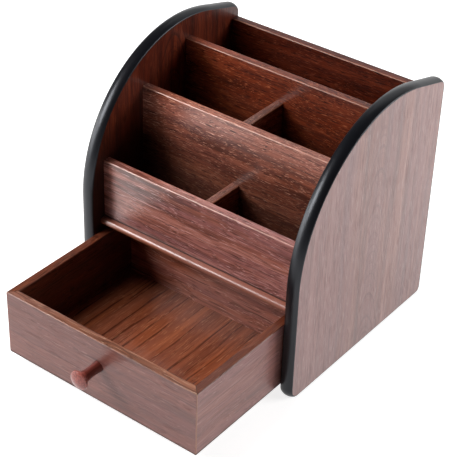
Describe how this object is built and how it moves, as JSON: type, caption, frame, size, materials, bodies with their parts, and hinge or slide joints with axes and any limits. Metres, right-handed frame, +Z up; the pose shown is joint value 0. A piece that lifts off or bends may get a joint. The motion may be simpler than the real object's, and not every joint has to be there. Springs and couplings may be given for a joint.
{
  "type": "desk organizer with drawer",
  "caption": "Wooden desk organizer with arched black-edged sides, stepped open compartments and a sliding drawer with a turned knob.",
  "frame": {"origin": "centre of the overall footprint at table level, with the drawer pulled out as in the picture", "axes": "+X to the right seen from the drawer's side, +Y to the back of the case, +Z up; the drawer opens along -Y"},
  "size_m": [0.2, 0.294, 0.2061],
  "materials": {
    "side_veneer": "satin walnut-look veneer, grain upright",
    "black_edge": "satin to gloss black",
    "board_veneer": "satin walnut-look veneer, grain along the board",
    "base_wood": "matt walnut-look veneer",
    "drawer_veneer": "satin walnut-look veneer, grain along the wall",
    "drawer_floor": "satin walnut-look veneer, grain front to back",
    "knob_lacquer": "gloss mahogany lacquer",
    "screw_steel": "zinc plated"
  },
  "bodies": {
    "case": {"left_side_panel": "side_veneer", "right_side_panel": "side_veneer", "left_edge_trim": "black_edge", "right_edge_trim": "black_edge", "back_panel": "board_veneer", "front_panel": "board_veneer", "middle_divider": "board_veneer", "rear_divider": "board_veneer", "front_short_divider": "board_veneer", "rear_short_divider": "board_veneer", "shelf": "board_veneer", "base_panel": "base_wood", "drawer_stop": "base_wood"},
    "drawer": {"drawer_front": "drawer_veneer", "drawer_left_side": "drawer_veneer", "drawer_right_side": "drawer_veneer", "drawer_back": "drawer_veneer", "drawer_bottom": "drawer_floor", "knob": "knob_lacquer", "knob_screw": "screw_steel"}
  },
  "joints": [
    {"name": "drawer_slide", "type": "slide", "parent": "case", "child": "drawer", "axis": [0, -1, 0], "range_m": [-0.1035, 0.012]}
  ]
}
